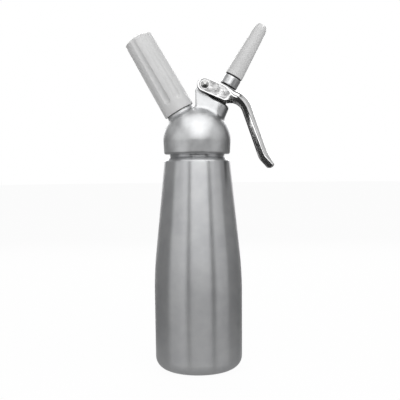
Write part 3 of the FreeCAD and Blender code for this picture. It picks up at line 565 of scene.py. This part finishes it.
def makeLever():
    s = leverSizes
    bm = roundedPrism(leverOutline(), s["cheekOuter"])

    # cut across, so that the sides can draw in smoothly from the cheeks to the handle
    cut = s["crownStart"]
    while cut < s["elbow"] + s["handleLength"]:
        bmesh.ops.bisect_plane(bm, geom=bm.verts[:] + bm.edges[:] + bm.faces[:], dist=0.01,
                               plane_co=(cut, 0, 0), plane_no=(1, 0, 0))
        cut += s["cutPitch"]
    for vert in bm.verts:
        narrower = (s["cheekOuter"] - s["handleHalf"]) * smoothStep(vert.co.x, s["taperStart"], s["taperEnd"])
        vert.co.y -= math.copysign(narrower, vert.co.y)

    # the cheeks' recesses run out toward the plate, round a land at the pin
    rim = s["cheek"] - s["recessRim"]
    upperRound, lowerRound = s["recessRounds"]
    recess = [
        (-rim, rim, rim - 0.05),
        (s["recessEnd"] + 3, rim, upperRound),
        (s["recessEnd"] - 1, -rim * 0.5, lowerRound),
        (s["cheekLength"] - 1, -rim, lowerRound),
        (-rim, -rim, rim - 0.05),
    ]
    tools = []
    for side in (-1, 1):
        pocket = placed(prism(recess, 3), Matrix.Translation((0, side * (s["cheekOuter"] + 3), 0)))
        slope = Matrix.Rotation(math.atan(s["recessDepth"] / s["recessEnd"]) * side, 3, "Z")
        bmesh.ops.rotate(pocket, verts=pocket.verts[:], cent=(s["recessEnd"], side * s["cheekOuter"], 0),
                         matrix=slope)
        tools.append(carved(pocket, [crossBar(0, 0, s["pinLand"], 30)]))
    below = -s["cheek"] - 1
    under = s["cheek"] - s["plate"]
    tools.append(prism([
        (below, below), (s["channelEnd"], below), (s["channelEnd"], under, s["channelRound"]),
        (-s["plateStart"], under), (-s["plateStart"], s["cheek"] + 1), (below, s["cheek"] + 1),
    ], s["cheekInner"]))
    shallow = s["handleThickness"] - s["grooveDepth"]
    deep = s["handleThickness"] + s["grooveDepth"]
    tools.append(prism([
        (*handlePoint(s["grooveStart"], shallow), s["channelRound"]),
        (*handlePoint(s["handleLength"] - s["grooveEnd"], shallow), s["channelRound"]),
        handlePoint(s["handleLength"] - s["grooveEnd"], deep),
        handlePoint(s["grooveStart"], deep),
    ], s["grooveHalf"]))
    bm = carved(bm, tools)
    bm = carved(bm, [crossBar(s["ribAlong"], s["ribUp"], s["ribRadius"], s["ribHalf"])], "UNION")
    hole = bmesh.new()
    bmesh.ops.create_cone(hole, cap_ends=True, segments=64, radius1=s["slotRadius"], radius2=s["slotRadius"],
                          depth=40, matrix=Matrix.Translation((s["ribAlong"] - s["slotShift"], 0, 0)))
    bm = carved(bm, [hole, crossBar(0, 0, s["pinHole"], 20)])
    for face in bm.faces:  # skin on the sloping floors of the recesses and on the underside
        middle = face.calc_center_median()
        sloping = 0.998 < abs(face.normal.y) < 0.9997 and abs(face.normal.z) < 0.01
        if sloping and abs(middle.y) > s["cheekInner"] + 0.5 and middle.x < s["taperStart"]:
            face.material_index = 1
        # faces that look down get the dark copy of the skin, whose dark tones are painted shade under the
        # lever
        elif face.normal.z < -0.35 and abs(face.normal.y) < 0.8:
            face.material_index = 2
        else:
            face.material_index = 0
    bm = modified(bm, "BEVEL", {"width": s["edge"], "segments": 2, "limit_method": "ANGLE",
                                "angle_limit": math.radians(40)})
    flatten(finishPiece("squeezeLever", placed(bm, leverPlace), "lever_body",
                        [polishedLever, leverSkin, undersideSkinAndPaintedShade], ["lever"], sharp=40))


makeLever()
print("lever made")


# the hinge pin: a domed head toward the front and a groove for the clip at the back
pinSizes = {
    "radius": 2.5, "head": 4.0, "rise": 1.7, "face": -14.8, "tip": -16.6, "end": 16.7, "endRound": 0.5,
    "headEdge": 0.1, "groove": 1.9,
}


def makePin():
    s = pinSizes
    clip = [corner.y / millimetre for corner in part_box("pin_clip")]
    reach = (s["head"] ** 2 + s["rise"] ** 2) / (2 * s["head"])
    bm = turned([
        (0, s["tip"]),
        (reach, s["tip"], roundShare * reach * s["head"] / s["rise"]),
        (s["head"], s["tip"] + s["rise"], s["headEdge"]),
        (s["head"], s["face"]),
        (s["radius"], s["face"]),
        (s["radius"], clip[0]),
        (s["groove"], clip[0]),
        (s["groove"], clip[1]),
        (s["radius"], clip[1]),
        (s["radius"], s["end"], s["endRound"]),
        (0, s["end"]),
    ], steps=64)
    place = (Matrix.Translation((leverSizes["pinX"], 0, leverSizes["pinZ"]))
             @ Matrix.Rotation(-math.pi / 2, 4, "X"))
    finishPiece("hingePin", placed(bm, place), "head_body", [turnedSteel], ["lever_pin"])


makePin()
print("pin made")


# the head casting: one skin over the dome, the two bosses and the web, with coves between them
headSizes = {
    "skirtFoot": 213.6, "skirt": 32.7, "skirtRound": 2.0, "dome": 33.4, "domeHeight": 227.0,
    "bossFoot": 18.0, "chargerBoss": 13.5, "chargerFace": 34.6, "chargerRound": 0.4,
    "valveFoot": 14.2, "valveTop": 11.2, "valveFace": 45.5, "valveRound": 2.4,
    "webHalf": 11.9, "webFoot": 256.0, "webLean": 7.0, "webRound": 1.2, "lug": 4.9,
    "cove": 3.0, "merge": 1.5, "voxel": 0.6,
    "threadBore": 27.3, "cavity": 27.6, "land": 8.6, "landFace": 25.02, "port": 8.02, "portFoot": 20.5,
    "pinHole": 2.52,
    # radius, from and to: the way in, the stem's guide, the bush's seat and the spring's well
    "stemSteps": [(5.5, 23.0, 33.0), (4.08, 33.0, 35.6), (6.1, 35.6, 38.0), (7.6, 38.0, 46.5)],
    "webCorners": [(-1.2, 227.0), (-1.2, 276.8), (4.3, 284.1), (12.4, 278.7), (9.4, 273.5), (21.5, 263.3),
                   (17.8, 227.0)],
}


# distances for many points at once, below zero inside a form; here of what two forms share, its edge rounded
def roundedMeet(first, second, radius):
    return (np.minimum(np.maximum(first, second) + radius, 0)
            + np.hypot(np.maximum(first + radius, 0), np.maximum(second + radius, 0)) - radius)


# two forms in one, with a cove where they meet
def blended(first, second, width):
    share = np.clip(0.5 + 0.5 * (second - first) / width, 0, 1)
    return second + (first - second) * share - width * share * (1 - share)


# a closed outline in the XZ plane, endless along Y
def outlineDistance(x, z, corners):
    nearest = np.full_like(x, 1e9)
    inside = np.zeros(x.shape, dtype=bool)
    for (ax, az), (bx, bz) in zip(corners, corners[1:] + corners[:1]):
        square = (bx - ax) ** 2 + (bz - az) ** 2
        along = np.clip(((x - ax) * (bx - ax) + (z - az) * (bz - az)) / square, 0, 1)
        nearest = np.minimum(nearest, np.hypot(x - ax - along * (bx - ax), z - az - along * (bz - az)))
        if bz != az:
            inside ^= ((az > z) != (bz > z)) & (x < ax + (bx - ax) * (z - az) / (bz - az))
    return np.where(inside, -nearest, nearest)


# a round boss on a leaning axis, tapered from its foot to its face
def bossDistance(points, lean, footRadius, topRadius, foot, face, radius):
    axis = np.array([math.sin(math.radians(lean)), 0, math.cos(math.radians(lean))])
    offset = points - np.array(axisPoint)
    height = offset @ axis
    across = np.linalg.norm(offset - np.outer(height, axis), axis=1)
    wall = footRadius + (topRadius - footRadius) * (height - foot) / (face - foot)
    return np.maximum(roundedMeet(across - wall, height - face, radius), foot - height)


def headDistance(points):
    s = headSizes
    x, y, z = points.T
    sphere = np.sqrt(x ** 2 + y ** 2 + (z - s["domeHeight"]) ** 2) - s["dome"]
    narrowing = (s["dome"] - s["skirt"]) / (s["domeHeight"] - s["skirtFoot"])
    skirt = np.hypot(x, y) - s["dome"] + narrowing * (s["domeHeight"] - z)
    body = roundedMeet(np.where(z > s["domeHeight"], sphere, skirt), s["skirtFoot"] - z, s["skirtRound"])
    charger = bossDistance(points, chargerLean, s["chargerBoss"], s["chargerBoss"], s["bossFoot"],
                           s["chargerFace"], s["chargerRound"])
    valve = bossDistance(points, nozzleLean, s["valveFoot"], s["valveTop"], s["bossFoot"], s["valveFace"],
                         s["valveRound"])
    lug = np.hypot(x - leverSizes["pinX"], z - leverSizes["pinZ"]) - s["lug"]
    lean = math.radians(s["webLean"])
    half = s["webHalf"] - (z - s["webFoot"]) * math.tan(lean)
    web = roundedMeet(np.minimum(outlineDistance(x, z, s["webCorners"]), lug),
                      (np.abs(y) - half) * math.cos(lean), s["webRound"])
    return blended(blended(body, blended(valve, web, s["merge"]), s["cove"]), charger, s["cove"])


# a solid turned from its wall, closed at both ends on the axis
def plug(wall, steps=64):
    return turned([(0, wall[0][1]), *wall, (0, wall[-1][1])], steps=steps)


def makeHead():
    s = headSizes
    pin = (leverSizes["pinX"], leverSizes["pinZ"])
    crownHeight = s["domeHeight"] + s["dome"]
    rough = turned([
        (0, s["skirtFoot"]),
        (s["skirt"], s["skirtFoot"]),
        (s["dome"], s["domeHeight"]),
        (s["dome"], crownHeight, s["dome"] - 0.1),
        (0, crownHeight),
    ], steps=96, segments=24)
    parts = [
        placed(plug([(s["chargerBoss"], s["bossFoot"]), (s["chargerBoss"], s["chargerFace"])]), chargerPlace),
        placed(plug([(s["valveFoot"], s["bossFoot"]), (s["valveTop"], s["valveFace"], s["valveRound"])]),
               nozzlePlace),
        prism(s["webCorners"], s["webHalf"] - 2),
        crossBar(*pin, s["lug"], s["webHalf"] - 3),
    ]
    for part in parts:
        rough.from_mesh(toMesh("part", part))
    bm = modified(rough, "REMESH", {"mode": "VOXEL", "voxel_size": s["voxel"]})

    # each point walks down the slope of the distance until it lies on the skin
    points = np.array([vert.co[:] for vert in bm.verts])
    step = 0.02
    for _ in range(5):
        distance = headDistance(points)
        slope = np.stack([headDistance(points + step * side) - headDistance(points - step * side)
                          for side in np.eye(3)], axis=1) / (2 * step)
        steep = np.maximum((slope ** 2).sum(axis=1), 0.25)
        points -= slope * (distance / steep)[:, None]
    for vert, point in zip(bm.verts, points):
        vert.co = point

    # the bores: the bottle's thread and the cavity, the valve's land, the port, the stem and the pin
    turns = [math.radians(angle) for angle in range(9, 90, 3)]
    arc = [(s["cavity"] * math.cos(turn), axisPoint.z + s["cavity"] * math.sin(turn)) for turn in turns]
    cavity = turned([
        (0, s["skirtFoot"] - 1),
        (s["threadBore"], s["skirtFoot"] - 1),
        *arc,
        (0, axisPoint.z + s["cavity"]),
    ], steps=96)
    land = placed(plug([(s["land"], s["landFace"]), (s["land"], s["cavity"] + 2)]), nozzlePlace)
    port = placed(plug([(s["port"], s["portFoot"]), (s["port"], s["chargerFace"] + 1)]), chargerPlace)
    wall = [(radius, height) for radius, *ends in s["stemSteps"] for height in ends]
    stem = placed(plug(wall), nozzlePlace)
    bm = carved(bm, [carved(cavity, [land]), port, stem, crossBar(*pin, s["pinHole"], 20)])
    finishPiece("headCasting", bm, "head_body", [satinHead], ["head_casting"], sharp=50)


makeHead()
print("head made")


# the pieces that keep their CAD shape
cadFinishes = {
    # collar_ring is a black rubber ring under the collar; its black also stands in for the shade in the gap
    # between the collar and the lever plate
    "tip_adaptor": turnedCollar, "collar_ring": blackRubber, "tip_o_ring": blackRubber,
    "pin_clip": turnedSteel, "charger_port": nickelBrass, "piercing_pin": turnedSteel,
    "charger_seal": greySilicone, "non_return_sleeve": greySilicone, "non_return_screw": nickelBrass,
    "gas_charger": rolledSteel, "valve_stem": turnedSteel, "valve_disc": greySilicone,
    "backing_washer": turnedSteel, "stem_end_nut": turnedSteel, "stem_o_ring": blackRubber,
    "valve_bush": greyPlastic, "valve_spring": turnedSteel, "stem_flange_nut": turnedSteel,
    "head_gasket": greySilicone,
}
for name, material in cadFinishes.items():
    nodes[name].data.materials.clear()
    nodes[name].data.materials.append(material)
print("finishes set")


# the stage: floor, white backdrop, dark cards for the metal to reflect, soft boxes and camera
floorSizes = {"radius": 9.0, "height": -0.0002, "share": 0.96}
cards = {  # seen only in reflections: angle from the camera's side, start and end; radius and height; grey
    "tableNearCard": (-180, 180, (0.001, -0.0001), (0.13, -0.0001), "#A0A0A0"),
    "tableCard": (-180, 180, (0.13, -0.0001), (1.7, -0.0001), "#7C7C7C"),
    "frontTableCard": (-34, 40, (0.16, 0.0), (1.7, 0.0), "#3A3A3A"),
    "ceilingCard": (-180, 180, (0.001, 2.0), (1.7, 2.0), "#707070"),
    "frontCard": (-44, 48, (1.7, 0.0), (1.7, 2.0), "#303030"),
    "leftCard": (-158, -44, (1.7, 0.0), (1.7, 2.0), "#888888"),
    "leftPaleCard": (-83, -28, (1.6, 0.0), (1.6, 1.25), "#CDCDCD"),
    "leftHighCard": (-135, -83, (1.6, 0.5), (1.6, 1.6), "#B4B4B4"),
    "rightHighCard": (84, 135, (1.6, 0.5), (1.6, 1.6), "#C8C8C8"),
    "rightCard": (48, 158, (1.7, 0.0), (1.7, 2.0), "#747474"),
}
lamps = {  # place, turn in degrees, size across and up, watts
    "frontSoftBox": ((0.15, -1.0, 0.735), (90, 0, 0), 1.1, 0.83, 5.2),
    "topSoftBox": ((0.15, -0.475, 1.4), (21.8, 0, 0), 2.3, 1.35, 14.5),
    "leftPanel": ((-0.90, -0.64, 0.45), (90, 0, -54), 0.96, 0.9, 1.1),
    "rightPanel": ((0.97, -0.46, 0.45), (90, 0, 65), 0.7, 0.9, 1.25),
    "backSoftBox": ((0.0, 0.95, 0.75), (-68, 0, 0), 1.3, 0.9, 8.0),
}
cameraSizes = {"place": (0.00245, -0.700, 0.1999), "pitch": 2.617, "roll": -0.55, "lens": 63.06}


# 1 for what the camera sees straight, in a reflection or through something clear, and 0 for the rest
def directlySeen(tree):
    path = addNode(tree, "ShaderNodeLightPath").outputs
    seen = addNode(tree, "ShaderNodeMath", {"operation": "MAXIMUM"},
                   {0: path["Is Camera Ray"], 1: path["Is Glossy Ray"]})
    return addNode(tree, "ShaderNodeMath", {"operation": "MAXIMUM"},
                   {0: seen.outputs[0], 1: path["Is Transmission Ray"]}).outputs[0]


# white where it is directly seen; elsewhere it takes its light and shadow as pale paper
def makeFloor():
    s = floorSizes
    bm = bmesh.new()
    bmesh.ops.create_circle(bm, cap_ends=True, segments=96, radius=s["radius"])
    floor = newObject("floor", toMesh("floor", bm))
    floor.location.z = s["height"]
    material, tree, shader = newMaterial("palePaper", {"Base Color": linear("#F2F2F2"), "Roughness": 0.9})
    material.cycles.emission_sampling = "NONE"
    glow = addNode(tree, "ShaderNodeEmission", {"Color": (1, 1, 1, 1), "Strength": 1.0})
    share = addNode(tree, "ShaderNodeMath", {"operation": "MULTIPLY", 1: s["share"]}, {0: directlySeen(tree)})
    mixed = addNode(tree, "ShaderNodeMixShader", {},
                    {0: share.outputs[0], 1: shader.outputs[0], 2: glow.outputs[0]})
    tree.links.new(mixed.outputs[0], tree.nodes["Material Output"].inputs["Surface"])
    floor.data.materials.append(material)


# a line between two places turned round the set: a strip of a cylinder, a disc or a ring
def makeCard(name, start, end, first, second, grey):
    bm = bmesh.new()
    ends = [bm.verts.new((0, -radius, height)) for radius, height in (first, second)]
    line = bm.edges.new(ends)
    bmesh.ops.rotate(bm, verts=ends, cent=(0, 0, 0), matrix=Matrix.Rotation(math.radians(start), 3, "Z"))
    bmesh.ops.spin(bm, geom=[line, *ends], axis=(0, 0, 1), cent=(0, 0, 0), dvec=(0, 0, 0),
                   angle=math.radians(end - start), steps=48)
    card = newObject(name, toMesh(name, bm))
    material, tree, _ = newMaterial(name, {})
    material.cycles.emission_sampling = "NONE"
    glow = addNode(tree, "ShaderNodeEmission", {"Color": linear(grey), "Strength": 1.0})
    tree.links.new(glow.outputs[0], tree.nodes["Material Output"].inputs["Surface"])
    card.data.materials.append(material)
    for ray in ("camera", "diffuse", "transmission", "volume_scatter", "shadow"):
        setattr(card, "visible_" + ray, False)


def makeLamp(name, place, turn, across, up, power):
    light = bpy.data.lights.new(name, "AREA")
    light.shape = "RECTANGLE"
    light.size = across
    light.size_y = up
    light.energy = power
    lamp = newObject(name, light)
    lamp.location = place
    lamp.rotation_euler = [math.radians(angle) for angle in turn]
    lamp.visible_camera = False


def makeWorld():
    world = bpy.data.worlds.new("studio")
    bpy.context.scene.world = world
    world.use_nodes = True
    tree = world.node_tree
    level = addNode(tree, "ShaderNodeMapRange", {"To Min": 0.1, "To Max": 1.0}, {"Value": directlySeen(tree)})
    back = tree.nodes["Background"]
    back.inputs["Color"].default_value = (1, 1, 1, 1)
    tree.links.new(level.outputs[0], back.inputs["Strength"])


def makeCamera():
    s = cameraSizes
    camera = newObject("camera", bpy.data.cameras.new("camera"))
    camera.data.lens = s["lens"]
    camera.data.sensor_width = 36
    pitch = Matrix.Rotation(math.radians(90 - s["pitch"]), 4, "X")
    roll = Matrix.Rotation(math.radians(s["roll"]), 4, "Z")
    camera.matrix_world = Matrix.Translation(s["place"]) @ pitch @ roll
    bpy.context.scene.camera = camera


makeFloor()
for name, values in cards.items():
    makeCard(name, *values)
for name, values in lamps.items():
    makeLamp(name, *values)
makeWorld()
makeCamera()
bpy.context.scene.view_settings.view_transform = "Standard"
print("stage made")
